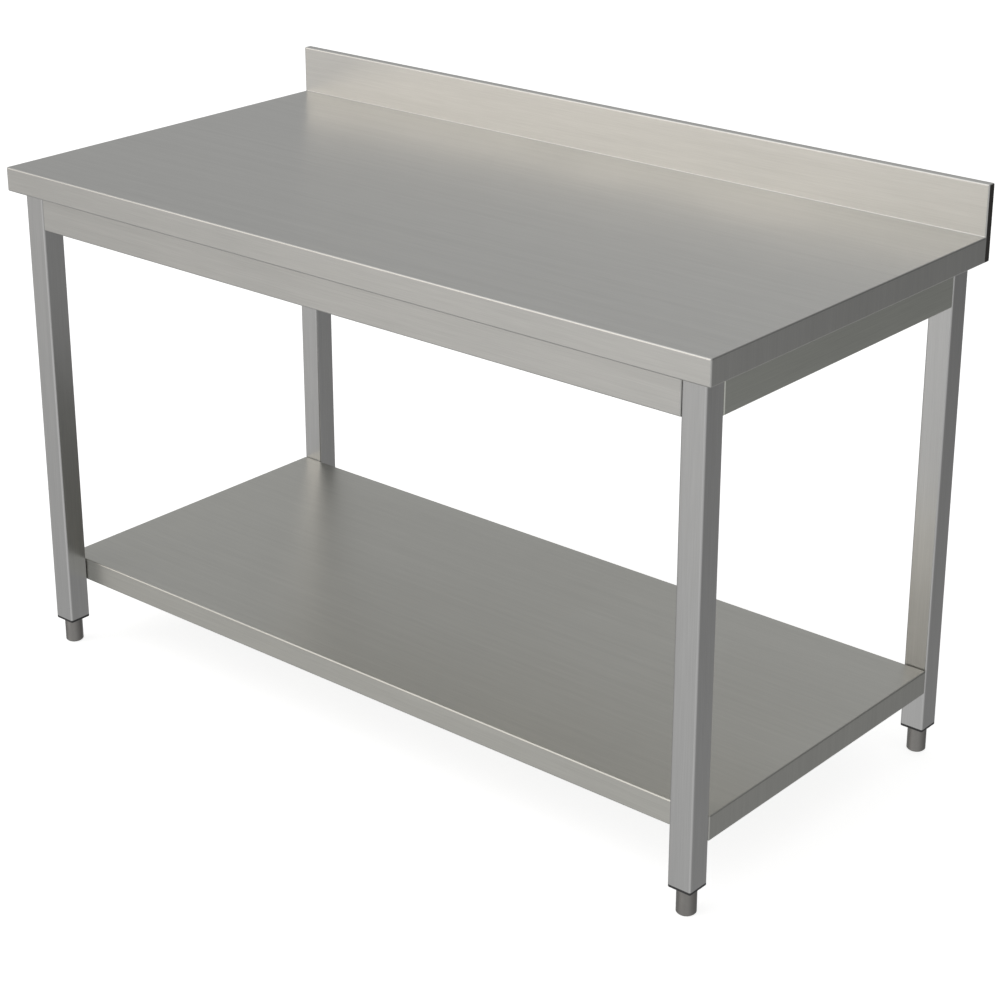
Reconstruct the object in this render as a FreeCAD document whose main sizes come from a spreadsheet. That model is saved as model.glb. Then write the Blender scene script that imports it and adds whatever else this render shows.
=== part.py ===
import FreeCAD, Part
import os
import re
import Sketcher

# Stainless work table: a folded worktop with an upstand along its back edge, a frame of four
# aprons between four square legs, a folded undershelf, and a screw foot in each leg.
#
# Frame: origin on the floor under the middle of the worktop, +X along the length, +Y towards
# the upstand, +Z up, in millimetres. The feet are shown screwed all the way in.

SIZES = (
    # name, millimetres, what it measures
    ("length", 1400, "worktop, left to right"),
    ("depth", 700, "worktop, front to back"),
    ("work_height", 850, "floor to work surface"),
    ("sheet", 1.2, "thickness of every folded sheet"),
    ("bend", 2.5, "outside radius of the worktop's and the shelf's folds"),
    ("foot_bend", 1.2, "inside radius of the fold at the foot of the upstand"),
    ("apron_bend", 2, "outside radius of an apron's folds"),
    ("edge_drop", 40, "height of the worktop's folded edge"),
    ("edge_lip", 18, "width of the lip folded in under that edge"),
    ("upstand_rise", 80, "upstand above the work surface"),
    ("upstand_width", 15, "upstand, front to back"),
    ("cap_inset", 0.5, "end caps behind the ends of the upstand"),
    ("board", 18, "thickness of the core board"),
    ("board_gap", 2, "core board to the folded edges"),
    ("leg_side", 40, "square leg, across the flats"),
    ("leg_wall", 1.5, "wall of the leg tube"),
    ("leg_corner", 3, "outside corner radius of the leg tube"),
    ("leg_inset", 20, "leg face behind the worktop edge, front and sides"),
    ("leg_inset_back", 24, "leg face behind the worktop edge, back"),
    ("leg_bottom", 47, "floor to the cut end of the tube"),
    ("apron_drop", 60, "apron that shows under the worktop edge"),
    ("apron_lip", 12, "lip folded in under an apron"),
    ("apron_ledge", 22, "flange folded in along the top of an apron"),
    ("tab_reach", 34, "end tab of an apron, along the leg"),
    ("tab_bolt_drop", 26, "upper apron bolt below the frame's top"),
    ("tab_bolt_pitch", 30, "between the two bolts of an apron's end"),
    ("joint_gap", 0.5, "sheet end to leg, the flange of a rivet nut"),
    ("shelf_top", 152, "floor to shelf"),
    ("shelf_drop", 40, "height of the shelf's folded edge"),
    ("shelf_lip", 15, "width of the lip folded in under that edge"),
    ("channel_width", 60, "stiffening channel, inside its webs"),
    ("channel_flange", 16, "welded or screwed flange of a channel"),
    ("channel_drop", 24, "depth of a stiffening channel"),
    ("channel_play", 1, "channel's ends to the folded edges"),
    ("channel_pitch", 400, "between neighbouring channels"),
    ("channel_screw_y", 180, "channel's screws from the worktop's middle"),
    ("insert_flange", 4.5, "thickness of the leg insert's rim"),
    ("insert_edge", 1.5, "rounding of the rim's lower edge"),
    ("insert_plug", 25, "leg insert's depth in the tube"),
    ("insert_play", 0.1, "leg insert's plug to the tube"),
    ("insert_corner", 1.2, "corner radius of the plug"),
    ("stem_radius", 5, "foot's threaded stem"),
    ("stem_top", 100, "floor to the top of the stem"),
    ("stem_hole", 5.6, "radius of the hole that clears the stem"),
    ("thread_play", 0.05, "stem to nut, a running thread"),
    ("nut_floor", 9, "rim's underside to the captive nut"),
    ("nut_height", 8, "captive nut"),
    ("nut_across", 16.9, "captive nut, across the flats"),
    ("nut_pocket", 17.1, "pocket for the captive nut, across the flats"),
    ("foot_radius", 15, "foot sleeve"),
    ("foot_gap", 0.3, "screwed-in sleeve to the leg insert"),
    ("foot_cap", 4, "solid top of the sleeve"),
    ("foot_bore", 11.5, "radius of the sleeve's hollow"),
    ("glide_radius", 13.4, "nylon glide in the sleeve"),
    ("glide_play", 0.08, "glide to the sleeve, a running fit"),
    ("glide_height", 12, "nylon glide"),
    ("glide_show", 1.5, "glide that stands out under the sleeve"),
    ("bolt_radius", 3, "M6 bolt"),
    ("bolt_length", 16, "under the head"),
    ("bolt_head_radius", 5.25, "button head"),
    ("bolt_head", 3.3, "height of the head"),
    ("bolt_round", 1.8, "rounding of the head"),
    ("bolt_hole", 3.3, "radius of the hole that clears a bolt"),
    ("socket_across", 4, "hex socket, across the flats"),
    ("socket_depth", 2, "hex socket"),
    ("washer_radius", 6, "washer"),
    ("washer", 1.2, "thickness of a washer"),
    ("rivet_radius", 4.5, "shank of a rivet nut"),
    ("rivet_length", 12, "shank of a rivet nut"),
    ("rivet_bulge", 5.8, "radius of the collapsed part behind the wall"),
    ("rivet_flange", 6.5, "radius of a rivet nut's flange"),
    ("rivet_hole", 4.55, "radius of the hole for a rivet nut"),
    ("screw_radius", 2, "wood screw"),
    ("screw_length", 15, "under the head"),
    ("screw_head_radius", 3.8, "pan head"),
    ("screw_head", 2.4, "height of the head"),
    ("screw_hole", 2.3, "radius of the hole that clears a screw"),
    ("pilot_hole", 2.03, "radius of the hole in the core board"),
    ("screw_margin", 6, "screw to the free edge of its flange"),
)
ALIASES = {name for name, _, _ in SIZES}

# Places worked out from the sizes, written as formulas for the spreadsheet's cells.
LEG_X = "(length / 2 - leg_inset - leg_side / 2)"
LEG_FRONT_Y = "(-depth / 2 + leg_inset + leg_side / 2)"
LEG_BACK_Y = "(depth / 2 - leg_inset_back - leg_side / 2)"
FRAME_MIDDLE_Y = "((leg_inset - leg_inset_back) / 2)"
FRAME_TOP = "(work_height - sheet - board)"
EDGE_BOTTOM = "(work_height - edge_drop)"
APRON_BOTTOM = "(work_height - edge_drop - apron_drop)"
SHELF_BOTTOM = "(shelf_top - shelf_drop)"
INNER_DEPTH = "(depth - leg_inset - leg_inset_back - 2 * leg_side)"
SHELF_DEPTH = f"({INNER_DEPTH} - 2 * joint_gap)"
SHELF_LENGTH = "(length - 2 * leg_inset)"
SLEEVE_TOP = "(leg_bottom - insert_flange - foot_gap)"
CHANNEL_SCREW_X = "(channel_width / 2 + sheet + channel_flange - screw_margin)"
APRON_BOLT_HEIGHTS = [f"{FRAME_TOP} - tab_bolt_drop - {step} * tab_bolt_pitch" for step in range(2)]

CORNERS = {
    "front_left": (-1, -1),
    "front_right": (1, -1),
    "rear_left": (-1, 1),
    "rear_right": (1, 1),
}
LONG_APRON = "(length - 2 * leg_inset - 2 * leg_side - 2 * joint_gap)"
SHORT_APRON = f"({INNER_DEPTH} - 2 * joint_gap)"
# apron: turn about Z in degrees, middle of its outer face, length, screws along its ledge
APRONS = {
    "front_apron": (0, "0", "(-depth / 2 + leg_inset)", LONG_APRON, 4),
    "right_apron": (90, "(length / 2 - leg_inset)", FRAME_MIDDLE_Y, SHORT_APRON, 2),
    "rear_apron": (180, "0", "(depth / 2 - leg_inset_back)", LONG_APRON, 4),
    "left_apron": (270, "(-length / 2 + leg_inset)", FRAME_MIDDLE_Y, SHORT_APRON, 2),
}
CHANNELS = {"left": -1, "middle": 0, "right": 1}
TINY = 1e-4

doc = FreeCAD.newDocument("WorkTable")
dims = doc.addObject("Spreadsheet::Sheet", "Dims")
for row, (name, value, meaning) in enumerate(SIZES, start=1):
    dims.set(f"A{row}", name)
    dims.set(f"B{row}", str(value))
    dims.set(f"C{row}", meaning)
    dims.setAlias(f"B{row}", name)
doc.recompute()


# Formulas, sketches and features


def formula(text):
    """The text with each size's name pointing at its cell."""
    def cell(match):
        word = match.group()
        return f"Dims.{word}" if word in ALIASES else word
    return re.sub(r"[a-z_]+", cell, str(text))


def size(text):
    """The number that a formula gives now."""
    return float(dims.evalExpression(str(text)))


def new_body(label, x="0", y="0", turn=0):
    """An empty body that stands at (x, y), turned about Z."""
    body = doc.addObject("PartDesign::Body", label)
    body.Label = label
    up = FreeCAD.Vector(0, 0, 1)
    body.Placement = FreeCAD.Placement(FreeCAD.Vector(), FreeCAD.Rotation(up, turn))
    body.setExpression("Placement.Base.x", formula(x))
    body.setExpression("Placement.Base.y", formula(y))
    return body


def new_sketch(body, name, plane, offset):
    """A sketch parallel to an origin plane, at that offset along +X, +Y or +Z."""
    support = next(item for item in body.Origin.OriginFeatures if item.Role == plane)
    sketch = body.newObject("Sketcher::SketchObject", name)
    sketch.AttachmentSupport = [(support, "")]
    sketch.MapMode = "FlatFace"
    side = "-1" if plane == "XZ_Plane" else "1"  # that plane's own normal is -Y
    sketch.setExpression("AttachmentOffset.Base.z", formula(f"{side} * ({offset})"))
    return sketch


def pin_point(sketch, item, end, x, y):
    """Bind a point of a sketch to the formulas of its two coordinates."""
    for axis, text in (("X", x), ("Y", y)):
        rule = Sketcher.Constraint(f"Distance{axis}", item, end, size(text))
        sketch.renameConstraint(sketch.addConstraint(rule), f"at{axis}{item}")
        sketch.setExpression(f"Constraints.at{axis}{item}", formula(text))


def draw_polygon(sketch, corners):
    """A closed outline through corners given as pairs of formulas."""
    first = sketch.GeometryCount
    points = [FreeCAD.Vector(size(x), size(y), 0) for x, y in corners]
    for start, end in zip(points, points[1:] + points[:1]):
        sketch.addGeometry(Part.LineSegment(start, end), False)
    for step, (x, y) in enumerate(corners):
        item = first + step
        previous = first + (step - 1) % len(corners)
        sketch.addConstraint(Sketcher.Constraint("Coincident", previous, 2, item, 1))
        pin_point(sketch, item, 1, x, y)


def draw_circle(sketch, x, y, radius):
    """A circle given by three formulas."""
    middle = FreeCAD.Vector(size(x), size(y), 0)
    circle = Part.Circle(middle, FreeCAD.Vector(0, 0, 1), size(radius))
    item = sketch.addGeometry(circle, False)
    pin_point(sketch, item, 3, x, y)
    rule = Sketcher.Constraint("Radius", item, size(radius))
    sketch.renameConstraint(sketch.addConstraint(rule), f"radius{item}")
    sketch.setExpression(f"Constraints.radius{item}", formula(radius))


def rectangle(low_x, low_y, high_x, high_y):
    """Corners of an upright rectangle."""
    return [(low_x, low_y), (high_x, low_y), (high_x, high_y), (low_x, high_y)]


def square(side):
    """Corners of a square about the sketch's origin."""
    return rectangle(f"-({side}) / 2", f"-({side}) / 2", f"({side}) / 2", f"({side}) / 2")


def hexagon(across):
    """Corners of a hexagon about the sketch's origin, from its size across the flats."""
    return [
        (f"({across}) / sqrt(3) * cos({angle})", f"({across}) / sqrt(3) * sin({angle})")
        for angle in range(0, 360, 60)
    ]


def folded(path):
    """Outline of a sheet folded square along a path, with its thickness right of the path."""
    points = [(size(x), size(y)) for x, y in path]
    normals = []
    for (x0, y0), (x1, y1) in zip(points, points[1:]):
        run = abs(x1 - x0) + abs(y1 - y0)
        normals.append((round((y1 - y0) / run), round((x0 - x1) / run)))
    inner = []
    for step, (x, y) in enumerate(path):
        beside = normals[max(step - 1, 0):step + 1]
        across = sum({normal[0] for normal in beside})
        along = sum({normal[1] for normal in beside})
        inner.append((f"{x} + ({across}) * sheet", f"{y} + ({along}) * sheet"))
    return list(path) + inner[::-1]


def slab(body, kind, name, plane, middle, thickness, *outlines):
    """Pad or Pocket outlines to both sides of a plane, and see that the solid changed."""
    before = body.Shape.Volume if body.Tip else 0
    sketch = new_sketch(body, f"{name}_outline", plane, middle)
    for outline in outlines:
        if isinstance(outline, tuple):
            draw_circle(sketch, *outline)
        else:
            draw_polygon(sketch, outline)
    feature = body.newObject(f"PartDesign::{kind}", name)
    feature.Profile = sketch
    feature.SideType = "Symmetric"
    feature.setExpression("Length", formula(thickness))
    doc.recompute()
    grown = feature.Shape.Volume - before
    if (grown <= TINY) if kind == "Pad" else (grown >= -TINY):
        raise RuntimeError(f"{body.Label}: {name} changed nothing")
    return feature


def turned(body, name, corners):
    """A solid turned about Z from its half section of (radius, height) corners."""
    sketch = new_sketch(body, f"{name}_outline", "XZ_Plane", "0")
    draw_polygon(sketch, corners)
    feature = body.newObject("PartDesign::Revolution", name)
    feature.Profile = sketch
    feature.ReferenceAxis = (sketch, ["V_Axis"])
    feature.Angle = 360
    doc.recompute()
    return feature


def on_line(edge, line):
    """Whether a straight edge lies where two of its coordinates have the given values."""
    ends = [vertex.Point for vertex in edge.Vertexes]
    free = next(axis for axis in "xyz" if axis not in line)
    if len(ends) != 2 or abs(getattr(ends[0], free) - getattr(ends[1], free)) < TINY:
        return False
    return all(
        abs(getattr(end, axis) - value) < TINY for end in ends for axis, value in line.items()
    )


def add_fillet(body, name, radius, base, edges):
    """A fillet on named edges of the base feature."""
    if not edges:
        raise RuntimeError(f"{body.Label}: {name} found no edge")
    feature = body.newObject("PartDesign::Fillet", name)
    feature.Base = (base, edges)
    feature.setExpression("Radius", formula(radius))
    doc.recompute()
    if {"Invalid", "Error"} & set(feature.State):
        raise RuntimeError(f"{body.Label}: {name} failed")
    return feature


def soften(body, name, radius, lines):
    """Round the edges of the body's newest feature that lie on the given lines."""
    base = body.Tip
    wanted = [
        f"Edge{index}"
        for index, edge in enumerate(base.Shape.Edges, start=1)
        if any(on_line(edge, line) for line in lines)
    ]
    return add_fillet(body, name, radius, base, wanted)


def corner_lines(half_x, half_y):
    """The four upright lines at (+-half_x, +-half_y)."""
    return [{"x": x * half_x, "y": y * half_y} for x in (-1, 1) for y in (-1, 1)]


def tray_folds(half_x, walls_y, levels):
    """The lines along a tray's walls at each level, and up the corners where its walls meet."""
    walls = [{"x": -half_x}, {"x": half_x}] + [{"y": y} for y in walls_y]
    corners = [{"x": x, "y": y} for x in (-half_x, half_x) for y in walls_y]
    return corners + [{**wall, "z": level} for wall in walls for level in levels]


def soften_rims(body, name, fillet, rim, level):
    """Round the circular edges of the body's newest feature at one radius and height."""
    base = body.Tip
    wanted = [
        f"Edge{index}"
        for index, edge in enumerate(base.Shape.Edges, start=1)
        if isinstance(edge.Curve, Part.Circle)
        and abs(edge.Curve.Center.z - size(level)) < TINY
        and abs(edge.Curve.Radius - size(rim)) < TINY
    ]
    return add_fillet(body, name, fillet, base, wanted)


# Worktop


def make_worktop_skin():
    """One sheet folded down at the front and sides, and up, back and down at the upstand."""
    body = new_body("worktop_skin")
    upstand_front = "depth / 2 - upstand_width"
    upstand_top = "work_height + upstand_rise"
    outline = [
        ("-depth / 2", EDGE_BOTTOM),
        ("-depth / 2", "work_height"),
        (upstand_front, "work_height"),
        (upstand_front, upstand_top),
        ("depth / 2", upstand_top),
        ("depth / 2", EDGE_BOTTOM),
    ]
    slab(body, "Pad", "outer_form", "YZ_Plane", "0", "length", outline)
    half, back = size("length / 2"), size("depth / 2")
    top, low = size("work_height"), size(EDGE_BOTTOM)
    soften(body, "upstand_foot", "foot_bend", [{"y": size(upstand_front), "z": top}])
    soften(body, "edge_folds", "bend", tray_folds(half, [-back], [low, top]))
    crest = [{"y": y, "z": size(upstand_top)} for y in (size(upstand_front), back)]
    soften(body, "upstand_folds", "bend", [*crest, {"y": back, "z": low}])
    hollow = rectangle(
        "-length / 2 + sheet", "-depth / 2 + sheet", "length / 2 - sheet", f"{upstand_front} + sheet"
    )
    hollow_middle = f"({EDGE_BOTTOM} + work_height) / 2"
    slab(body, "Pocket", "hollow", "XY_Plane", hollow_middle, "edge_drop - 2 * sheet", hollow)
    channel = rectangle(
        f"{upstand_front} + sheet", f"{EDGE_BOTTOM} + sheet", "depth / 2 - sheet", f"{upstand_top} - sheet"
    )
    slab(body, "Pocket", "upstand_hollow", "YZ_Plane", "0", "length + 1", channel)
    mouth = rectangle(
        "-length / 2 + edge_lip", "-depth / 2 + edge_lip", "length / 2 - edge_lip", "depth / 2 - edge_lip"
    )
    slab(body, "Pocket", "mouth", "XY_Plane", EDGE_BOTTOM, "3 * sheet", mouth)
    return body


def make_end_cap(label, side):
    """The plate that closes one end of the upstand, a little behind the sheet's edge."""
    body = new_body(label)
    plate = rectangle(
        "depth / 2 - upstand_width + sheet",
        f"{EDGE_BOTTOM} + sheet",
        "depth / 2 - sheet",
        "work_height + upstand_rise - sheet",
    )
    middle = f"{side} * (length / 2 - cap_inset - sheet / 2)"
    slab(body, "Pad", "plate", "YZ_Plane", middle, "sheet", plate)
    return body


def ledge_spots(span, count):
    """Formulas of the screw places along an apron, from its middle."""
    return [f"({step} + 0.5 - {count} / 2) * {span} / {count}" for step in range(count)]


def screw_spots():
    """Formulas of every wood screw's (x, y): through the aprons' ledges and the channels."""
    inward = "(apron_ledge - screw_margin)"
    spots = []
    for turn, x, y, span, count in APRONS.values():
        for along in ledge_spots(span, count):
            spots.append(
                (
                    f"{x} + cos({turn}) * ({along}) - sin({turn}) * {inward}",
                    f"{y} + sin({turn}) * ({along}) + cos({turn}) * {inward}",
                )
            )
    for place in CHANNELS.values():
        for side in (-1, 1):
            for end in (-1, 1):
                x = f"{place} * channel_pitch + {side} * {CHANNEL_SCREW_X}"
                spots.append((x, f"{end} * channel_screw_y"))
    return spots


def make_core_board():
    """The laminated board under the steel, with blind pilot holes for the screws."""
    body = new_body("worktop_core_board")
    panel = rectangle(
        "-length / 2 + sheet + board_gap",
        "-depth / 2 + sheet + board_gap",
        "length / 2 - sheet - board_gap",
        "depth / 2 - upstand_width",
    )
    slab(body, "Pad", "panel", "XY_Plane", f"{FRAME_TOP} + board / 2", "board", panel)
    holes = [(x, y, "pilot_hole") for x, y in screw_spots()]
    slab(body, "Pocket", "pilot_holes", "XY_Plane", FRAME_TOP, "2 * screw_length", *holes)
    return body


# Frame


def make_apron(label, turn, x, y, span, screws):
    """A folded channel between two legs. Its own frame has y = 0 on the outer face, +y inwards."""
    body = new_body(label, x, y, turn)
    section = folded(
        [
            ("apron_lip", APRON_BOTTOM),
            ("0", APRON_BOTTOM),
            ("0", FRAME_TOP),
            ("apron_ledge", FRAME_TOP),
        ]
    )
    slab(body, "Pad", "channel", "YZ_Plane", "0", span, section)
    tab = rectangle("0", APRON_BOTTOM, "tab_reach", FRAME_TOP)
    for side, name in ((-1, "left_tab"), (1, "right_tab")):
        middle = f"{side} * ({span} / 2 - sheet / 2)"
        slab(body, "Pad", name, "YZ_Plane", middle, "sheet", tab)
    half, low = size(span) / 2, size(APRON_BOTTOM)
    folds = [{"x": -half, "y": 0}, {"x": half, "y": 0}, {"y": 0, "z": low}]
    soften(body, "folds", "apron_bend", folds)
    bolts = [("leg_side / 2", height, "bolt_hole") for height in APRON_BOLT_HEIGHTS]
    slab(body, "Pocket", "bolt_holes", "YZ_Plane", "0", f"{span} + 1", *bolts)
    holes = [(along, "apron_ledge - screw_margin", "screw_hole") for along in ledge_spots(span, screws)]
    slab(body, "Pocket", "screw_holes", "XY_Plane", FRAME_TOP, "3 * sheet", *holes)
    return body


def make_channel(label, x, y, reach, top, screw_holes=()):
    """A hat-section stiffener that runs front to back with its flanges up."""
    body = new_body(label, x, y)
    web = "channel_width / 2"
    low = f"{top} - channel_drop"
    section = folded(
        [
            (f"-({web}) - sheet - channel_flange", top),
            (f"-({web})", top),
            (f"-({web})", low),
            (web, low),
            (web, top),
            (f"{web} + sheet + channel_flange", top),
        ]
    )
    slab(body, "Pad", "hat", "XZ_Plane", "0", reach, section)
    if screw_holes:
        slab(body, "Pocket", "screw_holes", "XY_Plane", top, "3 * sheet", *screw_holes)
    return body


def make_worktop_channels():
    """Three channels under the core board, between the ledges of the long aprons."""
    reach = "depth - leg_inset - leg_inset_back - 2 * apron_ledge - 2 * channel_play"
    for place, step in CHANNELS.items():
        holes = [
            (f"{side} * {CHANNEL_SCREW_X}", f"{end} * channel_screw_y - {FRAME_MIDDLE_Y}", "screw_hole")
            for side in (-1, 1)
            for end in (-1, 1)
        ]
        x = f"{step} * channel_pitch"
        make_channel(f"worktop_channel_{place}", x, FRAME_MIDDLE_Y, reach, FRAME_TOP, holes)


def leg_place(side, end):
    """Formulas of a leg's axis."""
    return f"{side} * {LEG_X}", LEG_FRONT_Y if end < 0 else LEG_BACK_Y


def make_leg(label, side, end):
    """A square tube with holes for rivet nuts in its two inner faces."""
    body = new_body(label, *leg_place(side, end))
    tall = f"{FRAME_TOP} - leg_bottom"
    middle = f"({FRAME_TOP} + leg_bottom) / 2"
    bore = "leg_side - 2 * leg_wall"
    slab(body, "Pad", "bar", "XY_Plane", middle, tall, square("leg_side"))
    half = size("leg_side / 2")
    soften(body, "outer_corners", "leg_corner", corner_lines(half, half))
    slab(body, "Pocket", "bore", "XY_Plane", middle, f"{tall} + 1", square(bore))
    inner = size(bore) / 2
    soften(body, "inner_corners", "leg_corner - leg_wall", corner_lines(inner, inner))
    apron_holes = [("0", height, "rivet_hole") for height in APRON_BOLT_HEIGHTS]
    shelf_hole = ("0", "shelf_top - shelf_drop / 2", "rivet_hole")
    across = "3 * leg_wall"
    slab(body, "Pocket", "side_holes", "YZ_Plane", f"{-side} * leg_side / 2", across, *apron_holes)
    depth_holes = [*apron_holes, shelf_hole]
    slab(body, "Pocket", "depth_holes", "XZ_Plane", f"{-end} * leg_side / 2", across, *depth_holes)
    return body


# Shelf


def make_shelf_pan():
    """A sheet folded down all round, between the front and rear legs and as long as the frame."""
    body = new_body("shelf_pan", "0", FRAME_MIDDLE_Y)
    half_x, half_y = f"({SHELF_LENGTH} / 2)", f"({SHELF_DEPTH} / 2)"
    middle = f"({SHELF_BOTTOM} + shelf_top) / 2"
    form = rectangle(f"-{half_x}", f"-{half_y}", half_x, half_y)
    slab(body, "Pad", "outer_form", "XY_Plane", middle, "shelf_drop", form)
    x, y = size(half_x), size(half_y)
    levels = [size(SHELF_BOTTOM), size("shelf_top")]
    soften(body, "edge_folds", "bend", tray_folds(x, [-y, y], levels))
    for name, inset, level, tall in (
        ("hollow", "sheet", middle, "shelf_drop - 2 * sheet"),
        ("mouth", "shelf_lip", SHELF_BOTTOM, "3 * sheet"),
    ):
        opening = rectangle(
            f"-{half_x} + {inset}", f"-{half_y} + {inset}", f"{half_x} - {inset}", f"{half_y} - {inset}"
        )
        slab(body, "Pocket", name, "XY_Plane", level, tall, opening)
    holes = [(f"{side} * {LEG_X}", middle, "bolt_hole") for side in (-1, 1)]
    slab(body, "Pocket", "bolt_holes", "XZ_Plane", "0", f"{SHELF_DEPTH} + 1", *holes)
    return body


def make_shelf_channels():
    """Three channels welded under the shelf."""
    reach = f"{SHELF_DEPTH} - 2 * sheet - 2 * channel_play"
    for place, step in CHANNELS.items():
        x = f"{step} * channel_pitch"
        make_channel(f"shelf_channel_{place}", x, FRAME_MIDDLE_Y, reach, "shelf_top - sheet")


# Feet


def make_leg_insert(label, side, end):
    """The plastic plug in a leg's lower end, with a pocket for the captive nut."""
    body = new_body(label, *leg_place(side, end))
    rim_middle = "leg_bottom - insert_flange / 2"
    slab(body, "Pad", "rim", "XY_Plane", rim_middle, "insert_flange", square("leg_side"))
    half = size("leg_side / 2")
    soften(body, "rim_corners", "leg_corner", corner_lines(half, half))
    low = size("leg_bottom - insert_flange")
    soften(body, "rim_edge", "insert_edge", [{"x": -half, "z": low}])
    plug = "leg_side - 2 * leg_wall - 2 * insert_play"
    plug_middle = "leg_bottom + insert_plug / 2"
    slab(body, "Pad", "plug", "XY_Plane", plug_middle, "insert_plug", square(plug))
    inner = size(plug) / 2
    soften(body, "plug_corners", "insert_corner", corner_lines(inner, inner))
    slab(body, "Pocket", "stem_hole", "XY_Plane", "leg_bottom", "3 * insert_plug", ("0", "0", "stem_hole"))
    pocket_low = "leg_bottom - insert_flange + nut_floor"
    pocket_tall = "insert_plug + insert_flange - nut_floor"
    pocket_middle = f"{pocket_low} + ({pocket_tall}) / 2"
    slab(body, "Pocket", "nut_pocket", "XY_Plane", pocket_middle, pocket_tall, hexagon("nut_pocket"))
    return body


def make_leg_nut(label, side, end):
    """The hex nut held in a leg insert."""
    body = new_body(label, *leg_place(side, end))
    middle = "leg_bottom - insert_flange + nut_floor + nut_height / 2"
    slab(body, "Pad", "hex", "XY_Plane", middle, "nut_height", hexagon("nut_across"))
    thread = ("0", "0", "stem_radius + thread_play")
    slab(body, "Pocket", "thread", "XY_Plane", middle, "2 * nut_height", thread)
    return body


def make_foot_stem(label, side, end):
    """The threaded rod welded into the top of a foot sleeve, with a chamfered tip."""
    body = new_body(label, *leg_place(side, end))
    low = f"{SLEEVE_TOP} - foot_cap"
    tip = "stem_radius / 4"
    turned(
        body,
        "rod",
        [
            ("0", low),
            ("stem_radius", low),
            ("stem_radius", f"stem_top - {tip}"),
            (f"stem_radius - {tip}", "stem_top"),
            ("0", "stem_top"),
        ],
    )
    return body


def make_foot_sleeve(label, side, end):
    """The round foot: a turned cup whose lower end takes the glide and whose top takes the stem."""
    body = new_body(label, *leg_place(side, end))
    seat = "glide_radius + glide_play"
    step = "glide_height + glide_play"
    low = "glide_show"
    ceiling = f"{SLEEVE_TOP} - foot_cap"
    turned(
        body,
        "cup",
        [
            (seat, low),
            ("foot_radius", low),
            ("foot_radius", SLEEVE_TOP),
            ("stem_radius", SLEEVE_TOP),
            ("stem_radius", ceiling),
            ("foot_bore", ceiling),
            ("foot_bore", step),
            (seat, step),
        ],
    )
    wall = "foot_radius - glide_radius - 3 * glide_play"
    soften_rims(body, "lower_edge", wall, "foot_radius", low)
    soften_rims(body, "upper_edge", "foot_gap", "foot_radius", SLEEVE_TOP)
    return body


def make_foot_glide(label, side, end):
    """The nylon pad that stays still on the floor while its sleeve is turned."""
    body = new_body(label, *leg_place(side, end))
    turned(
        body,
        "pad",
        [
            ("0", "0"),
            ("glide_radius", "0"),
            ("glide_radius", "glide_height"),
            ("0", "glide_height"),
        ],
    )
    soften_rims(body, "lower_edge", "glide_show", "glide_radius", "0")
    return body


# Fasteners: each is made once, standing on its seat with +Z the way it is driven


def make_bolt():
    """Button-head bolt with a hex socket, its seat at z = 0."""
    body = new_body("bolt_pattern_piece")
    chamfer = "bolt_radius / 6"
    turned(
        body,
        "blank",
        [
            ("0", "-bolt_head"),
            ("bolt_head_radius - bolt_round", "-bolt_head"),
            ("bolt_head_radius", "-bolt_head + bolt_round"),
            ("bolt_head_radius", "0"),
            ("bolt_radius", "0"),
            ("bolt_radius", f"bolt_length - {chamfer}"),
            (f"bolt_radius - {chamfer}", "bolt_length"),
            ("0", "bolt_length"),
        ],
    )
    slab(body, "Pocket", "socket", "XY_Plane", "-bolt_head", "2 * socket_depth", hexagon("socket_across"))
    return body


def make_washer():
    """Plain washer, between z = -washer and z = 0."""
    body = new_body("washer_pattern_piece")
    ring = [("0", "0", "washer_radius"), ("0", "0", "bolt_hole")]
    slab(body, "Pad", "ring", "XY_Plane", "-washer / 2", "washer", *ring)
    return body


def make_rivet_nut():
    """Rivet nut set in a wall whose outer face is z = 0, with its flange on that face."""
    body = new_body("rivet_nut_pattern_piece")
    thread = "bolt_radius + thread_play"
    turned(
        body,
        "set_nut",
        [
            (thread, "-joint_gap"),
            ("rivet_flange", "-joint_gap"),
            ("rivet_flange", "0"),
            ("rivet_radius", "0"),
            ("rivet_radius", "leg_wall"),
            ("rivet_bulge", "leg_wall"),
            ("rivet_bulge", "2 * leg_wall"),
            ("rivet_radius", "3 * leg_wall"),
            ("rivet_radius", "rivet_length"),
            (thread, "rivet_length"),
        ],
    )
    return body


def make_wood_screw():
    """Pan-head wood screw, its seat at z = 0."""
    body = new_body("wood_screw_pattern_piece")
    slope = "screw_head / 2"
    turned(
        body,
        "blank",
        [
            ("0", "-screw_head"),
            (f"screw_head_radius - {slope}", "-screw_head"),
            ("screw_head_radius", f"-{slope}"),
            ("screw_head_radius", "0"),
            ("screw_radius", "0"),
            ("screw_radius", "screw_length - 2 * screw_radius"),
            ("0", "screw_length"),
        ],
    )
    return body


def bolt_seats(shelf):
    """Points on the legs' inner faces, each with the direction out of the leg."""
    seats = []
    for side, end in CORNERS.values():
        x, y = (size(text) for text in leg_place(side, end))
        reach = size("leg_side / 2")
        inward_x, inward_y = FreeCAD.Vector(-side, 0, 0), FreeCAD.Vector(0, -end, 0)
        if shelf:
            axis = FreeCAD.Vector(x, y, size("shelf_top - shelf_drop / 2"))
            seats.append((axis + inward_y * reach, inward_y))
            continue
        for height in APRON_BOLT_HEIGHTS:
            axis = FreeCAD.Vector(x, y, size(height))
            seats += [(axis + inward_x * reach, inward_x), (axis + inward_y * reach, inward_y)]
    return seats


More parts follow.
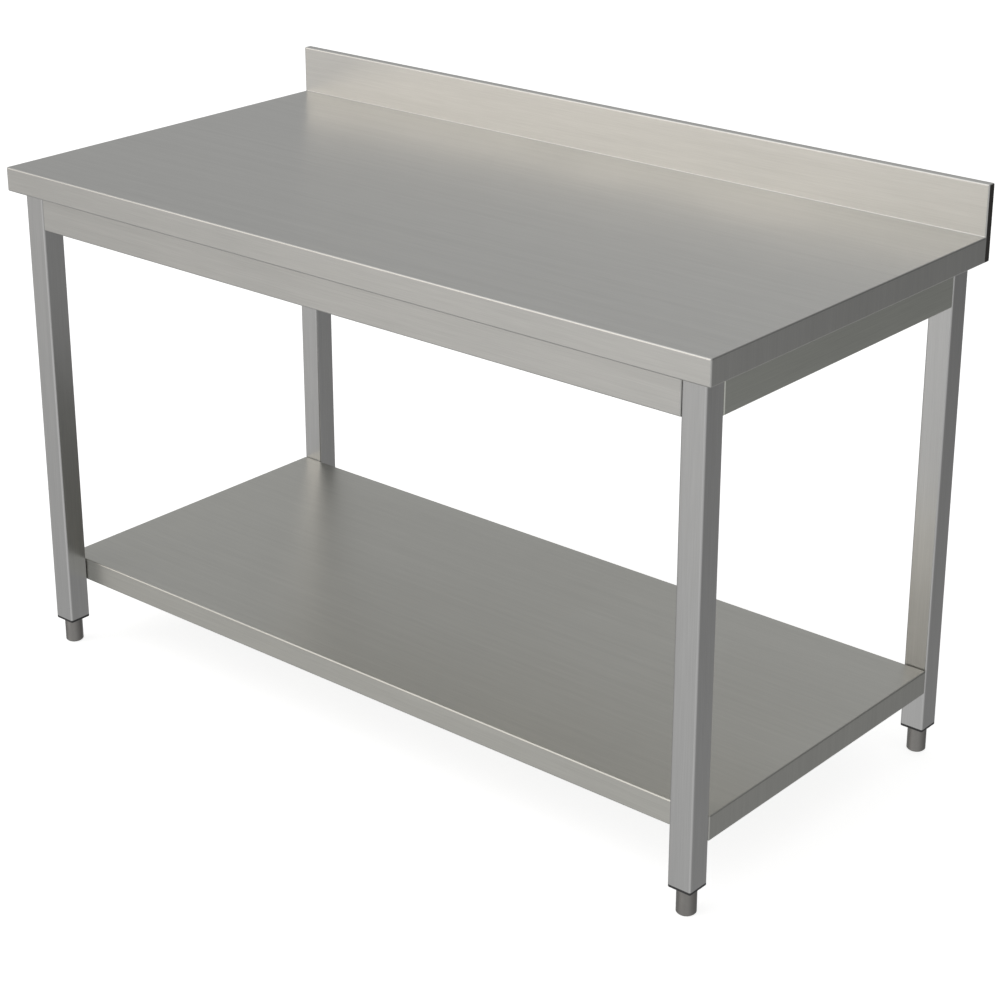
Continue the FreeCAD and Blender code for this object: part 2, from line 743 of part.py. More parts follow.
def make_group(label, piece, places):
    """Copies of one fastener as separate solids, each at a point and driven along a direction."""
    copies = []
    for point, direction in places:
        copy = piece.Shape.copy()
        up = FreeCAD.Vector(0, 0, 1)
        copy.Placement = FreeCAD.Placement(point, FreeCAD.Rotation(up, direction))
        copies.append(copy)
    group = doc.addObject("Part::Feature", label)
    group.Label = label
    group.Shape = Part.makeCompound(copies)
    group.Placement = FreeCAD.Placement()
    return group


def make_fasteners():
    """Every bolt, washer, rivet nut and wood screw, grouped by kind and by what they hold."""
    bolt, washer, rivet_nut, screw = make_bolt(), make_washer(), make_rivet_nut(), make_wood_screw()
    washer_seat = size("joint_gap + sheet")
    bolt_seat = washer_seat + size("washer")
    for held, shelf in (("apron", False), ("shelf", True)):
        seats = bolt_seats(shelf)
        make_group(f"{held}_bolts", bolt, [(at + out * bolt_seat, -out) for at, out in seats])
        make_group(f"{held}_washers", washer, [(at + out * washer_seat, -out) for at, out in seats])
        make_group(f"{held}_rivet_nuts", rivet_nut, [(at, -out) for at, out in seats])
    level = size(f"{FRAME_TOP} - sheet")
    up = FreeCAD.Vector(0, 0, 1)
    spots = [(FreeCAD.Vector(size(x), size(y), level), up) for x, y in screw_spots()]
    make_group("worktop_screws", screw, spots)


def make_table():
    """Every sub-part, in the order in which the table is put together."""
    make_worktop_skin()
    make_core_board()
    make_end_cap("upstand_end_cap_left", -1)
    make_end_cap("upstand_end_cap_right", 1)
    for label, shape in APRONS.items():
        make_apron(label, *shape)
    make_worktop_channels()
    make_shelf_pan()
    make_shelf_channels()
    for corner, (side, end) in CORNERS.items():
        make_leg(f"{corner}_leg", side, end)
        make_leg_insert(f"{corner}_leg_insert", side, end)
        make_leg_nut(f"{corner}_leg_nut", side, end)
        make_foot_stem(f"{corner}_foot_stem", side, end)
        make_foot_sleeve(f"{corner}_foot_sleeve", side, end)
        make_foot_glide(f"{corner}_foot_glide", side, end)
    make_fasteners()


def check_and_export():
    """Stop on any failed object or bad shape, then write one STEP file for each sub-part."""
    doc.recompute()
    for item in doc.Objects:
        if {"Invalid", "Error"} & set(item.State):
            raise RuntimeError(f"{item.Label}: {item.State}")
    made = [
        item
        for item in doc.Objects
        if item.TypeId in ("PartDesign::Body", "Part::Feature")
        and not item.Label.endswith("_pattern_piece")
    ]
    for item in made:
        if item.Shape.isNull() or not item.Shape.isValid():
            raise RuntimeError(f"{item.Label}: bad shape")
    os.makedirs("parts", exist_ok=True)
    for item in made:
        item.Shape.exportStep(f"parts/{item.Label}.step")
        solids = len(item.Shape.Solids)
        print(f"{item.Label}: {solids} solid(s), {item.Shape.Volume / 1000:.1f} cm3")


make_table()
check_and_export()
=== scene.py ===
import logging
import math
from dataclasses import dataclass
from enum import Enum

import bmesh
import bpy
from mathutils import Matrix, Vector


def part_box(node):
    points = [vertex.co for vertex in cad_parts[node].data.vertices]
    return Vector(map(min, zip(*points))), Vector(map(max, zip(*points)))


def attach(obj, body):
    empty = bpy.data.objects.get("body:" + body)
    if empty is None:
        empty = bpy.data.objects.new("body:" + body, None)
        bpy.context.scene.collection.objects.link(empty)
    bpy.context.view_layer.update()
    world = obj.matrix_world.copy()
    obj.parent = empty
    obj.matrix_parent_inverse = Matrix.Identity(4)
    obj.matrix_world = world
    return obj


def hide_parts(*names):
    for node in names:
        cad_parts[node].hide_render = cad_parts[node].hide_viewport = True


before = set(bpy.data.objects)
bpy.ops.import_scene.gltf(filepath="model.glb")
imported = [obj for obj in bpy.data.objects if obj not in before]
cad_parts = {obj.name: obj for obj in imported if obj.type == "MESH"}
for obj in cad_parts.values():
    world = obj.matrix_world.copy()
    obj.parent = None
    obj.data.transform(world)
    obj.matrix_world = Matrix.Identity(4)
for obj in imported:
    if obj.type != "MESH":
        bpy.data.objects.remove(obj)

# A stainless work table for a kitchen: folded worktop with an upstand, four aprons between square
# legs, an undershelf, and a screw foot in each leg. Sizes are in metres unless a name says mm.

LOG = logging.getLogger("work_table")
MM = 0.001
TABLE = "table"
CORNERS = ("front_left", "front_right", "rear_left", "rear_right")
PLACES = ("left", "middle", "right")

Tree = bpy.types.NodeTree
Socket = bpy.types.NodeSocket
Material = bpy.types.Material
Mesh = bpy.types.Mesh
Piece = bpy.types.Object
Seat = tuple[Vector, Vector]

MATH = "ShaderNodeMath"
VECTOR = "ShaderNodeVectorMath"
CELLS = "ShaderNodeTexVoronoi"
BUMP = "ShaderNodeBump"
NOISE_SPAN = (0.3, 0.7)  # nearly all of a noise texture's values lie between these


class Grain(Enum):
    """Which way a brushed sheet's grain runs, and which way on the faces that cut across that."""

    ALONG_LENGTH = ((1, 0, 0), (0, 0, 1))
    ALONG_DEPTH = ((0, 1, 0), (0, 0, 1))
    UPRIGHT = ((0, 0, 1), (1, 0, 0))


class Recess(Enum):
    """What a driver goes into in a fastener's head."""

    HEX = "hex socket"
    CROSS = "cross recess"


# Nodes and colours


def linear(code: str) -> tuple[float, float, float, float]:
    """Turn an sRGB hex colour into linear light.

    Args:
        code: a colour such as "#c8c6c1".

    Returns:
        Red, green, blue and alpha.
    """
    channels = []
    for start in (1, 3, 5):
        value = int(code[start:start + 2], 16) / 255
        channels.append(value / 12.92 if value <= 0.04045 else ((value + 0.055) / 1.055) ** 2.4)
    return (*channels, 1.0)


def add(tree: Tree, kind: str, inputs: dict | None = None, out: int | str = 0, **settings) -> Socket | None:
    """Add a node with its settings and whatever feeds it.

    Args:
        tree: the tree that gets the node.
        kind: Blender's name of the node's type.
        inputs: for an input's name or index, a socket to link from or a plain value.
        out: the name or index of the output that is wanted.
        settings: the node's own properties.

    Returns:
        That output, or None where the node has no outputs.
    """
    node = tree.nodes.new(kind)
    for name, value in settings.items():
        setattr(node, name, value)
    for name, value in (inputs or {}).items():
        if isinstance(value, Socket):
            tree.links.new(value, node.inputs[name])
        else:
            node.inputs[name].default_value = value
    return node.outputs[out] if node.outputs else None


def mottle(tree: Tree, where: Socket, size: float, low: float, high: float, detail: float = 2.0) -> Socket:
    """Soft random patches that run between two values.

    Args:
        tree: the material's tree.
        where: the coordinates that the patches follow.
        size: how wide a patch is, in the units of those coordinates.
        low: the least value.
        high: the greatest value.
        detail: how many finer layers are added.

    Returns:
        The values.
    """
    patches = add(tree, "ShaderNodeTexNoise", {"Vector": where, "Scale": 1 / size, "Detail": detail})
    least, most = NOISE_SPAN
    ends = {"Value": patches, "From Min": least, "From Max": most, "To Min": low, "To Max": high}
    return add(tree, "ShaderNodeMapRange", ends)


# Finishes


@dataclass(frozen=True)
class Finish:
    """A material together with how its surface was made."""

    name: str

    def shader(self, tree: Tree) -> dict:
        """What the surface's shader reads.

        Args:
            tree: the material's tree.

        Returns:
            A socket or a value for each input of the shader.
        """
        raise NotImplementedError

    def material(self) -> Material:
        """Build the finish as a node material.

        Returns:
            The material.
        """
        material = bpy.data.materials.new(self.name)
        material.use_nodes = True
        tree = material.node_tree
        tree.nodes.clear()
        surface = add(tree, "ShaderNodeBsdfPrincipled", self.shader(tree))
        add(tree, "ShaderNodeOutputMaterial", {"Surface": surface})
        return material


@dataclass(frozen=True)
class BrushedStainless(Finish):
    """Cold-rolled chromium-nickel steel sheet brushed with a belt.

    Long fine streaks smear every reflection across the grain, and the sheet is never quite flat,
    so wide soft patches drift over it.
    """

    grain: Grain
    tint: str = "#c8c8c5"
    roughness: float = 0.33
    streak_mm: float = 0.9  # a belt's scratches are nearer 0.1 mm, too fine to show
    streak_length_mm: float = 70
    band_mm: float = 9  # where the belt's joint and pressure vary
    band_length_mm: float = 600
    patch_mm: float = 250  # how far apart the sheet's slight waves are
    sheen_spread: float = 0.55
    streak_shade: float = 0.045  # how far a streak is from the mean shade
    band_shade: float = 0.025
    streak_gloss: float = 0.4  # change of roughness for each unit of a streak's shade
    patch_gloss: float = 0.04  # change of roughness from wave to wave
    scratch_relief_mm: float = 0.04
    wave_relief_mm: float = 0.5
    fold_limit: float = 0.75  # a face counts as folded when it looks this much along the grain

    def grain_axis(self, tree: Tree, normal: Socket) -> Socket:
        """The direction of the grain, which turns down with the sheet where it is folded.

        Args:
            tree: the material's tree.
            normal: the surface's normals.

        Returns:
            The direction.
        """
        flat, folded = self.grain.value
        facing = add(tree, VECTOR, {0: normal, 1: flat}, "Value", operation="DOT_PRODUCT")
        steepness = add(tree, MATH, {0: facing}, operation="ABSOLUTE")
        is_folded = add(tree, MATH, {0: steepness, 1: self.fold_limit}, operation="GREATER_THAN")
        turn = [end - start for start, end in zip(flat, folded)]
        step = add(tree, VECTOR, {0: turn, "Scale": is_folded}, operation="SCALE")
        return add(tree, VECTOR, {0: step, 1: flat}, operation="ADD")

    def stretched(self, tree: Tree, axis: Socket, width_mm: float, length_mm: float) -> Socket:
        """Coordinates in which a streak of this width and length is one unit each way.

        Args:
            tree: the material's tree.
            axis: the grain's direction.
            width_mm: across the grain.
            length_mm: along the grain.

        Returns:
            The coordinates.
        """
        across, along = 1 / (width_mm * MM), 1 / (length_mm * MM)
        point = add(tree, "ShaderNodeTexCoord", out="Object")
        reach = add(tree, VECTOR, {0: point, 1: axis}, "Value", operation="DOT_PRODUCT")
        squeeze = add(tree, MATH, {0: reach, 1: along - across}, operation="MULTIPLY")
        shift = add(tree, VECTOR, {0: axis, "Scale": squeeze}, operation="SCALE")
        even = add(tree, VECTOR, {0: point, "Scale": across}, operation="SCALE")
        return add(tree, VECTOR, {0: even, 1: shift}, operation="ADD")

    def shader(self, tree: Tree) -> dict:
        """Streaks in shade, gloss and relief, over the sheet's slow waves.

        Args:
            tree: the material's tree.

        Returns:
            A socket or a value for each input of the shader.
        """
        point = add(tree, "ShaderNodeTexCoord", out="Object")
        normal = add(tree, "ShaderNodeNewGeometry", out="Normal")
        axis = self.grain_axis(tree, normal)
        scratch_place = self.stretched(tree, axis, self.streak_mm, self.streak_length_mm)
        band_place = self.stretched(tree, axis, self.band_mm, self.band_length_mm)
        scratches = mottle(tree, scratch_place, 1, 1 - self.streak_shade, 1 + self.streak_shade)
        bands = mottle(tree, band_place, 1, 1 - self.band_shade, 1 + self.band_shade, 3)
        shade = add(tree, MATH, {0: scratches, 1: bands}, operation="MULTIPLY")
        patches = mottle(tree, point, self.patch_mm * MM, 0, 1, 1)
        even_gloss = self.roughness - self.patch_gloss / 2
        dulled = add(tree, MATH, {0: patches, 1: self.patch_gloss, 2: even_gloss}, operation="MULTIPLY_ADD")
        wear = {0: scratches, 1: self.streak_gloss, 2: -self.streak_gloss}
        worn = add(tree, MATH, wear, operation="MULTIPLY_ADD")
        waves = add(tree, BUMP, {"Height": patches, "Distance": self.wave_relief_mm * MM})
        fine = {"Height": scratches, "Distance": self.scratch_relief_mm * MM, "Normal": waves}
        colour = {0: linear(self.tint)[:3], "Scale": shade}
        return {
            "Base Color": add(tree, VECTOR, colour, operation="SCALE"),
            "Metallic": 1.0,
            "Roughness": add(tree, MATH, {0: dulled, 1: worn}, operation="ADD"),
            "Anisotropic": self.sheen_spread,
            "Tangent": add(tree, VECTOR, {0: normal, 1: axis}, operation="CROSS_PRODUCT"),
            "Normal": add(tree, BUMP, fine),
        }


@dataclass(frozen=True)
class GalvanisedSheet(Finish):
    """Hot-dip galvanised steel: dull zinc crystals, each a little lighter or darker."""

    tint: str = "#a8acae"
    spangle_mm: float = 9
    ragged_mm: float = 3
    tear_mm: float = 2  # how wide the teeth of a ragged edge are
    least_shade: float = 0.92
    shade_spread: float = 0.14
    roughness: float = 0.42
    gloss_spread: float = 0.14
    relief_mm: float = 0.02

    def shader(self, tree: Tree) -> dict:
        """Ragged crystals that differ in shade and gloss.

        Args:
            tree: the material's tree.

        Returns:
            A socket or a value for each input of the shader.
        """
        point = add(tree, "ShaderNodeTexCoord", out="Object")
        edge = mottle(tree, point, self.tear_mm * MM, 0, self.ragged_mm * MM)
        ragged = add(tree, VECTOR, {0: point, 1: edge}, operation="ADD")
        crystals = add(tree, CELLS, {"Vector": ragged, "Scale": 1 / (self.spangle_mm * MM)}, "Color")
        shade = add(tree, "ShaderNodeSeparateColor", {"Color": crystals})
        lighter = {0: shade, 1: self.shade_spread, 2: self.least_shade}
        duller = {0: shade, 1: self.gloss_spread, 2: self.roughness}
        lightness = add(tree, MATH, lighter, operation="MULTIPLY_ADD")
        colour = {0: linear(self.tint)[:3], "Scale": lightness}
        return {
            "Base Color": add(tree, VECTOR, colour, operation="SCALE"),
            "Metallic": 1.0,
            "Roughness": add(tree, MATH, duller, operation="MULTIPLY_ADD"),
            "Normal": add(tree, BUMP, {"Height": shade, "Distance": self.relief_mm * MM}),
        }


@dataclass(frozen=True)
class LaminatedChipboard(Finish):
    """Pressed chips between two pale resin-bonded faces; the cut edges show the chips."""

    face: str = "#b9b2a2"
    chip: str = "#9a7b52"
    roughness: float = 0.6
    ior: float = 1.5
    chip_mm: float = 2.4
    darkest_chip: float = 0.65
    chip_spread: float = 0.5
    print_mm: float = 1.2
    print_shade: float = 0.05
    relief_mm: float = 0.04
    face_limit: float = 0.7  # the up or down part of a face's normal, above which it is laminated

    def shader(self, tree: Tree) -> dict:
        """Printed paper above and below, chips on the edges.

        Args:
            tree: the material's tree.

        Returns:
            A socket or a value for each input of the shader.
        """
        point = add(tree, "ShaderNodeTexCoord", out="Object")
        normal = add(tree, "ShaderNodeNewGeometry", out="Normal")
        facing = add(tree, VECTOR, {0: normal, 1: (0, 0, 1)}, "Value", operation="DOT_PRODUCT")
        level = add(tree, MATH, {0: facing}, operation="ABSOLUTE")
        is_face = add(tree, MATH, {0: level, 1: self.face_limit}, operation="GREATER_THAN")
        chips = add(tree, CELLS, {"Vector": point, "Scale": 1 / (self.chip_mm * MM)}, "Color")
        random = add(tree, "ShaderNodeSeparateColor", {"Color": chips})
        lighter = {0: random, 1: self.chip_spread, 2: self.darkest_chip}
        darkness = add(tree, MATH, lighter, operation="MULTIPLY_ADD")
        wood = add(tree, VECTOR, {0: linear(self.chip)[:3], "Scale": darkness}, operation="SCALE")
        low, high = 1 - self.print_shade, 1 + self.print_shade
        printed = mottle(tree, point, self.print_mm * MM, low, high, 4)
        paper = add(tree, VECTOR, {0: linear(self.face)[:3], "Scale": printed}, operation="SCALE")
        change = add(tree, VECTOR, {0: paper, 1: wood}, operation="SUBTRACT")
        share = add(tree, VECTOR, {0: change, "Scale": is_face}, operation="SCALE")
        return {
            "Base Color": add(tree, VECTOR, {0: wood, 1: share}, operation="ADD"),
            "Roughness": self.roughness,
            "IOR": self.ior,
            "Normal": add(tree, BUMP, {"Height": random, "Distance": self.relief_mm * MM}),
        }


@dataclass(frozen=True)
class MouldedPlastic(Finish):
    """Injection-moulded plastic from a spark-eroded mould: an even, very fine matt pebble."""

    colour: str
    ior: float
    roughness: float = 0.48
    pebble_mm: float = 0.5
    pebble_shade: float = 0.07
    relief_mm: float = 0.2
    rubbed_mm: float = 14  # how wide a place polished by handling is
    rubbed_gloss: float = 0.05

    def shader(self, tree: Tree) -> dict:
        """A pebbled surface, polished a little where it has been handled.

        Args:
            tree: the material's tree.

        Returns:
            A socket or a value for each input of the shader.
        """
        point = add(tree, "ShaderNodeTexCoord", out="Object")
        low, high = 1 - self.pebble_shade, 1 + self.pebble_shade
        pebble = mottle(tree, point, self.pebble_mm * MM, low, high, 3)
        glossy, dull = self.roughness - self.rubbed_gloss, self.roughness + self.rubbed_gloss
        colour = {0: linear(self.colour)[:3], "Scale": pebble}
        return {
            "Base Color": add(tree, VECTOR, colour, operation="SCALE"),
            "Roughness": mottle(tree, point, self.rubbed_mm * MM, glossy, dull),
            "IOR": self.ior,
            "Normal": add(tree, BUMP, {"Height": pebble, "Distance": self.relief_mm * MM}),
        }


@dataclass(frozen=True)
class PlatedSteel(Finish):
    """Small steel parts plated in a barrel: bright, a little cloudy, knocked at the edges."""

    tint: str
    roughness: float = 0.3
    cloud_mm: float = 1.6
    cloud_shade: tuple[float, float] = (0.9, 1.06)
    cloud_gloss: float = 0.8  # change of roughness for each unit of a cloud's shade
    knock_mm: float = 0.5
    knock_relief_mm: float = 0.01

    def shader(self, tree: Tree) -> dict:
        """Clouds in shade and gloss, and tiny knocks.

        Args:
            tree: the material's tree.

        Returns:
            A socket or a value for each input of the shader.
        """
        point = add(tree, "ShaderNodeTexCoord", out="Object")
        cloud = mottle(tree, point, self.cloud_mm * MM, *self.cloud_shade, 4)
        knocks = mottle(tree, point, self.knock_mm * MM, 0, 1)
        colour = {0: linear(self.tint)[:3], "Scale": cloud}
        gloss = {0: cloud, 1: self.cloud_gloss, 2: self.roughness - self.cloud_gloss}
        return {
            "Base Color": add(tree, VECTOR, colour, operation="SCALE"),
            "Metallic": 1.0,
            "Roughness": add(tree, MATH, gloss, operation="MULTIPLY_ADD"),
            "Normal": add(tree, BUMP, {"Height": knocks, "Distance": self.knock_relief_mm * MM}),
        }


@dataclass(frozen=True)
class TurnedSteel(Finish):
    """Stainless steel turned on a lathe: fine rings round the part, from the feed of the tool."""

    # This tint, far darker than the sheet steel's, is painted shade: the sleeve sits low down in the
    # table's shade.
    tint: str = "#93918e"
    roughness: float = 0.34
    sheen_spread: float = 0.5
    feed_mm: float = 0.7  # the real feed is about 0.15 mm, too fine to show
    ring_relief_mm: float = 0.006
    wear_mm: float = 8
    wear_shade: tuple[float, float] = (0.95, 1.04)
    wear_gloss: float = 0.9  # change of roughness for each unit of wear's shade

    def shader(self, tree: Tree) -> dict:
        """Rings in relief, with reflections drawn out along the part.

        Args:
            tree: the material's tree.

        Returns:
            A socket or a value for each input of the shader.
        """
        point = add(tree, "ShaderNodeTexCoord", out="Object")
        height = add(tree, "ShaderNodeSeparateXYZ", {"Vector": point}, "Z")
        turns = add(tree, MATH, {0: height, 1: 1 / (self.feed_mm * MM)}, operation="MULTIPLY")
        ring = add(tree, MATH, {0: turns, 1: 0.5}, operation="PINGPONG")
        wear = mottle(tree, point, self.wear_mm * MM, *self.wear_shade, 2)
        colour = {0: linear(self.tint)[:3], "Scale": wear}
        gloss = {0: wear, 1: self.wear_gloss, 2: self.roughness - self.wear_gloss}
        return {
            "Base Color": add(tree, VECTOR, colour, operation="SCALE"),
            "Metallic": 1.0,
            "Roughness": add(tree, MATH, gloss, operation="MULTIPLY_ADD"),
            "Anisotropic": self.sheen_spread,
            "Tangent": add(tree, "ShaderNodeCombineXYZ", {"Z": 1.0}),
            "Normal": add(tree, BUMP, {"Height": ring, "Distance": self.ring_relief_mm * MM}),
        }


@dataclass(frozen=True)
class StudioFloor(Finish):
    """Matt white floor that gives off light, so that only a faint shadow shows on it."""

    colour: str = "#c4c4c3"
    glow: float = 0.8
    roughness: float = 0.9
    patch: float = 0.5
    patch_shade: float = 0.01

    def shader(self, tree: Tree) -> dict:
        """An almost even white.

        Args:
            tree: the material's tree.

        Returns:
            A socket or a value for each input of the shader.
        """
        point = add(tree, "ShaderNodeTexCoord", out="Object")
        even = mottle(tree, point, self.patch, 1 - self.patch_shade, 1 + self.patch_shade)
        colour = {0: linear(self.colour)[:3], "Scale": even}
        return {
            "Base Color": add(tree, VECTOR, colour, operation="SCALE"),
            "Roughness": self.roughness,
            "Emission Color": linear("#ffffff"),
            "Emission Strength": self.glow,
        }


def dress(material: Material, *nodes: str) -> None:
    """Give the CAD's own pieces a finish.

    Args:
        material: the finish.
        nodes: names of the pieces.
    """
    for node in nodes:
        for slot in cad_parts[node].material_slots:
            slot.material = material
        LOG.info("%s: %s", node, material.name)


# Geometry trees


def add_object(name: str, mesh: Mesh) -> Piece:
    """Put a mesh in the scene as an object at the origin.

    Args:
        name: the object's name.
        mesh: its shape.

    Returns:
        The object.
    """
    piece = bpy.data.objects.new(name, mesh)
    bpy.context.scene.collection.objects.link(piece)
    return piece


class ShapeTree:
    """A geometry tree with named inputs, run once for each piece that it makes."""

    def __init__(self, name: str, kinds: dict[str, str]) -> None:
        """Start the tree.

        Args:
            name: the tree's name.
            kinds: each input's name with its kind of socket, such as "Float".
        """
        self.tree = bpy.data.node_groups.new(name, "GeometryNodeTree")
        sockets = self.tree.interface
        sockets.new_socket("Geometry", in_out="INPUT", socket_type="NodeSocketGeometry")
        sockets.new_socket("Geometry", in_out="OUTPUT", socket_type="NodeSocketGeometry")
        self.identifiers = {}
        for label, kind in {**kinds, "Finish": "Material"}.items():
            socket = sockets.new_socket(label, in_out="INPUT", socket_type=f"NodeSocket{kind}")
            self.identifiers[label] = socket.identifier
        self.given = add(self.tree, "NodeGroupInput").node.outputs

    def close(self, shape: Socket) -> None:
        """End the tree with real geometry in one finish.

        Args:
            shape: the geometry so far.
        """
        real = add(self.tree, "GeometryNodeRealizeInstances", {"Geometry": shape})
        finished = {"Geometry": real, "Material": self.given["Finish"]}
        add(self.tree, "NodeGroupOutput", {0: add(self.tree, "GeometryNodeSetMaterial", finished)})

    def run(self, name: str, start: Mesh, values: dict) -> Mesh:
        """Run the tree and keep the result as a plain mesh.

        Args:
            name: the new mesh's name.
            start: the mesh that the tree starts from.
            values: what each named input is set to.

        Returns:
            The mesh.
        """
        holder = add_object(f"{name}_start", start)
        modifier = holder.modifiers.new("Shape", "NODES")
        modifier.node_group = self.tree
        for label, value in values.items():
            modifier[self.identifiers[label]] = value
        bpy.context.view_layer.update()
        ready = bpy.context.evaluated_depsgraph_get()
        mesh = bpy.data.meshes.new_from_object(holder.evaluated_get(ready), depsgraph=ready)
        mesh.name = name
        bpy.data.objects.remove(holder)
        return mesh


@dataclass(frozen=True)
class Thread:
    """Sizes of a threaded rod."""

    radius: float
    length: float
    pitch: float
    tip_radius: float
    tip_slope: float  # how much the radius grows for each metre below the tip, in metres
    depth_share: float = 0.6  # depth of a rolled metric thread as a share of its pitch


class ThreadTree(ShapeTree):
    """A rod with a rolled thread: a cylinder whose radius follows a helix, with a tapered tip."""

    SIDES = 32
    RINGS_PER_TURN = 6

    def __init__(self) -> None:
        """Build the tree once; every rod runs it with its own sizes."""
        sizes = ("Radius", "Length", "Pitch", "Depth", "Tip Radius", "Tip Slope")
        kinds = {"Rings": "Int", **{label: "Float" for label in sizes}, "Place": "Vector"}
        super().__init__("threaded_rod", kinds)
        tree, given = self.tree, self.given
        blank = {
            "Vertices": self.SIDES,
            "Side Segments": given["Rings"],
            "Radius": given["Radius"],
            "Depth": given["Length"],
        }
        rod = add(tree, "GeometryNodeMeshCylinder", blank, fill_type="TRIANGLE_FAN")
        point = add(tree, "GeometryNodeInputPosition")
        x, y, from_middle = add(tree, "ShaderNodeSeparateXYZ", {0: point}).node.outputs
        half = {0: given["Length"], 1: 0.5, 2: from_middle}
        height = add(tree, MATH, half, operation="MULTIPLY_ADD")
        angle = add(tree, MATH, {0: y, 1: x}, operation="ARCTAN2")
        turn = add(tree, MATH, {0: angle, 1: 2 * math.pi}, operation="DIVIDE")
        climb = add(tree, MATH, {0: height, 1: given["Pitch"]}, operation="DIVIDE")
        phase = add(tree, MATH, {0: climb, 1: turn}, operation="SUBTRACT")
        wave = add(tree, MATH, {0: phase, 1: 0.5}, operation="PINGPONG")
        groove = add(tree, MATH, {0: wave, 1: given["Depth"]}, operation="MULTIPLY")
        twice = add(tree, MATH, {0: groove, 1: -2.0, 2: given["Radius"]}, operation="MULTIPLY_ADD")
        to_tip = add(tree, MATH, {0: given["Length"], 1: height}, operation="SUBTRACT")
        taper = {0: to_tip, 1: given["Tip Slope"], 2: given["Tip Radius"]}
        cone = add(tree, MATH, taper, operation="MULTIPLY_ADD")
        radius = add(tree, MATH, {0: twice, 1: cone}, operation="MINIMUM")
        scale = add(tree, MATH, {0: radius, 1: given["Radius"]}, operation="DIVIDE")
        new_x = add(tree, MATH, {0: x, 1: scale}, operation="MULTIPLY")
        new_y = add(tree, MATH, {0: y, 1: scale}, operation="MULTIPLY")
        shaped = add(tree, "ShaderNodeCombineXYZ", {"X": new_x, "Y": new_y, "Z": height})
        moved = {"Geometry": rod, "Position": shaped, "Offset": given["Place"]}
        self.close(add(tree, "GeometryNodeSetPosition", moved))

    def rod(self, name: str, thread: Thread, base: Vector, finish: Material) -> Mesh:
        """Make one rod that stands on a point and rises along +Z.

        Args:
            name: the mesh's name.
            thread: the rod's sizes.
            base: the middle of its lower end.
            finish: its material.

        Returns:
            The mesh.
        """
        values = {
            "Rings": round(thread.length / thread.pitch * self.RINGS_PER_TURN),
            "Radius": thread.radius,
            "Length": thread.length,
            "Pitch": thread.pitch,
            "Depth": thread.pitch * thread.depth_share,
            "Tip Radius": thread.tip_radius,
            "Tip Slope": thread.tip_slope,
            "Place": base,
            "Finish": finish,
        }
        return self.run(name, bpy.data.meshes.new(f"{name}_seed"), values)


class FastenerTree(ShapeTree):
    """Copies of one fastener, each at a point, driven along that point's own direction."""

    def __init__(self) -> None:
        """Build the tree once; every group of fasteners runs it."""
        super().__init__("driven_fasteners", {"Fastener": "Object", "Seed": "Int"})
        tree, given = self.tree, self.given
        piece = add(tree, "GeometryNodeObjectInfo", {"Object": given["Fastener"]}, "Geometry")
        drive = add(tree, "GeometryNodeInputNamedAttribute", {"Name": "drive"}, data_type="FLOAT_VECTOR")
        aligned = add(tree, "FunctionNodeAlignRotationToVector", {"Vector": drive}, axis="Z")
        set_down = {"Points": given["Geometry"], "Instance": piece, "Rotation": aligned}
        copies = add(tree, "GeometryNodeInstanceOnPoints", set_down)
        ends = {"Min": (0, 0, 0), "Max": (0, 0, 2 * math.pi), "Seed": given["Seed"]}
        tightened = add(tree, "FunctionNodeRandomValue", ends, data_type="FLOAT_VECTOR")
        turned = {"Instances": copies, "Rotation": tightened}
        self.close(add(tree, "GeometryNodeRotateInstances", turned))

    def group(self, name: str, piece: Mesh, seats: list[Seat], finish: Material, seed: int) -> Piece:
        """Make one group of fasteners.

        Args:
            name: the group's name.
            piece: one fastener, with its seat at z = 0 and +Z the way it is driven.
            seats: pairs of the seat's point and the direction it is driven.
            finish: the group's material.
            seed: fixes how far round each one was tightened.

        Returns:
            The object.
        """
        pattern = add_object(f"{name}_pattern", piece)
        points = bpy.data.meshes.new(f"{name}_points")
        points.from_pydata([point for point, _ in seats], [], [])
        drive = points.attributes.new("drive", "FLOAT_VECTOR", "POINT")
        for index, (_, direction) in enumerate(seats):
            drive.data[index].vector = direction
        values = {"Fastener": pattern, "Seed": seed, "Finish": finish}
        group = add_object(name, self.run(name, points, values))
        bpy.data.objects.remove(pattern)
        return group


# Fasteners


def loft(name: str, rings: list[list[Vector]]) -> Mesh:
    """Join rings of equal count into a closed solid, with a fan over the first and last.

    Args:
        name: the mesh's name.
        rings: points round each ring, in order along the solid.

    Returns:
        The mesh, with its faces outward.
    """
    shape = bmesh.new()
    rows = [[shape.verts.new(point) for point in ring] for ring in rings]
    count = len(rows[0])
    for low, high in zip(rows, rows[1:]):
        for step in range(count):
            after = (step + 1) % count
            shape.faces.new((low[step], low[after], high[after], high[step]))
    for row, ring in ((rows[0], rings[0]), (rows[-1], rings[-1])):
        middle = shape.verts.new(sum(ring, Vector()) / count)
        for step in range(count):
            shape.faces.new((row[step], middle, row[(step + 1) % count]))
    bmesh.ops.recalc_face_normals(shape, faces=shape.faces)
    mesh = bpy.data.meshes.new(name)
    shape.to_mesh(mesh)
    shape.free()
    return mesh


def joined(name: str, *meshes: Mesh) -> Mesh:
    """Several meshes as one.

    Args:
        name: the new mesh's name.
        meshes: the meshes.

    Returns:
        The mesh.
    """
    shape = bmesh.new()
    for mesh in meshes:
        shape.from_mesh(mesh)
    result = bpy.data.meshes.new(name)
    shape.to_mesh(result)
    shape.free()
    return result


